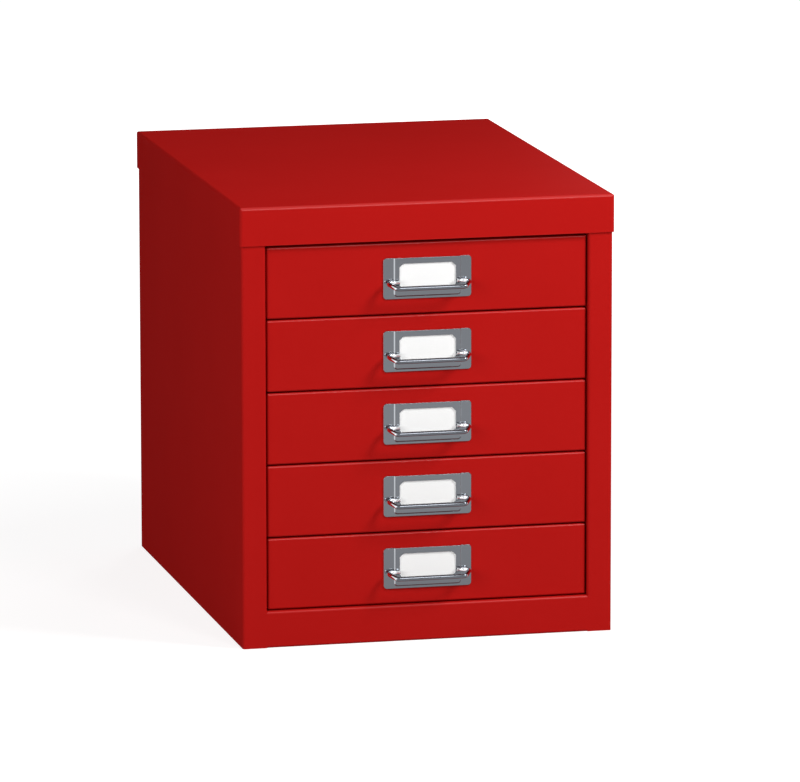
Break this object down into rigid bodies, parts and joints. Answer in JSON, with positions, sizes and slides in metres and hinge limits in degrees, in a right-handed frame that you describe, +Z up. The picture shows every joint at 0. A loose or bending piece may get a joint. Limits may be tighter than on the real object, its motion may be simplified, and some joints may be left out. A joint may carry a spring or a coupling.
{
  "type": "small metal drawer cabinet",
  "caption": "Compact red steel drawer cabinet for a desk or bench, with shallow full-width drawers and chrome card-holder pulls.",
  "frame": {"origin": "middle of the underside of the base, under the middle of the case", "axes": "+X to the right seen from the front, +Y from the drawer fronts to the back, +Z up"},
  "size_m": [0.279, 0.3911, 0.325],
  "materials": {
    "red_paint": "satin",
    "chrome": "polished",
    "card": "matte"
  },
  "bodies": {
    "cabinet": {"top_cap": "red_paint", "left_side": "red_paint", "right_side": "red_paint", "back_panel": "red_paint", "base_panel": "red_paint", "top_rail": "red_paint", "left_rear_post": "red_paint", "right_rear_post": "red_paint", "left_runner_1": "red_paint", "right_runner_1": "red_paint", "left_runner_2": "red_paint", "right_runner_2": "red_paint", "left_runner_3": "red_paint", "right_runner_3": "red_paint", "left_runner_4": "red_paint", "right_runner_4": "red_paint", "left_runner_5": "red_paint", "right_runner_5": "red_paint"},
    "drawer_1": {"drawer_front_1": "red_paint", "drawer_tray_1": "red_paint", "card_holder_1": "chrome", "pull_1": "chrome", "label_card_1": "card"},
    "drawer_2": {"drawer_front_2": "red_paint", "drawer_tray_2": "red_paint", "card_holder_2": "chrome", "pull_2": "chrome", "label_card_2": "card"},
    "drawer_3": {"drawer_front_3": "red_paint", "drawer_tray_3": "red_paint", "card_holder_3": "chrome", "pull_3": "chrome", "label_card_3": "card"},
    "drawer_4": {"drawer_front_4": "red_paint", "drawer_tray_4": "red_paint", "card_holder_4": "chrome", "pull_4": "chrome", "label_card_4": "card"},
    "drawer_5": {"drawer_front_5": "red_paint", "drawer_tray_5": "red_paint", "card_holder_5": "chrome", "pull_5": "chrome", "label_card_5": "card"}
  },
  "joints": [
    {"name": "drawer_1_slide", "type": "slide", "parent": "cabinet", "child": "drawer_1", "axis": [0, -1, 0], "range_m": [0, 0.285]},
    {"name": "drawer_2_slide", "type": "slide", "parent": "cabinet", "child": "drawer_2", "axis": [0, -1, 0], "range_m": [0, 0.285]},
    {"name": "drawer_3_slide", "type": "slide", "parent": "cabinet", "child": "drawer_3", "axis": [0, -1, 0], "range_m": [0, 0.285]},
    {"name": "drawer_4_slide", "type": "slide", "parent": "cabinet", "child": "drawer_4", "axis": [0, -1, 0], "range_m": [0, 0.285]},
    {"name": "drawer_5_slide", "type": "slide", "parent": "cabinet", "child": "drawer_5", "axis": [0, -1, 0], "range_m": [0, 0.285]}
  ]
}
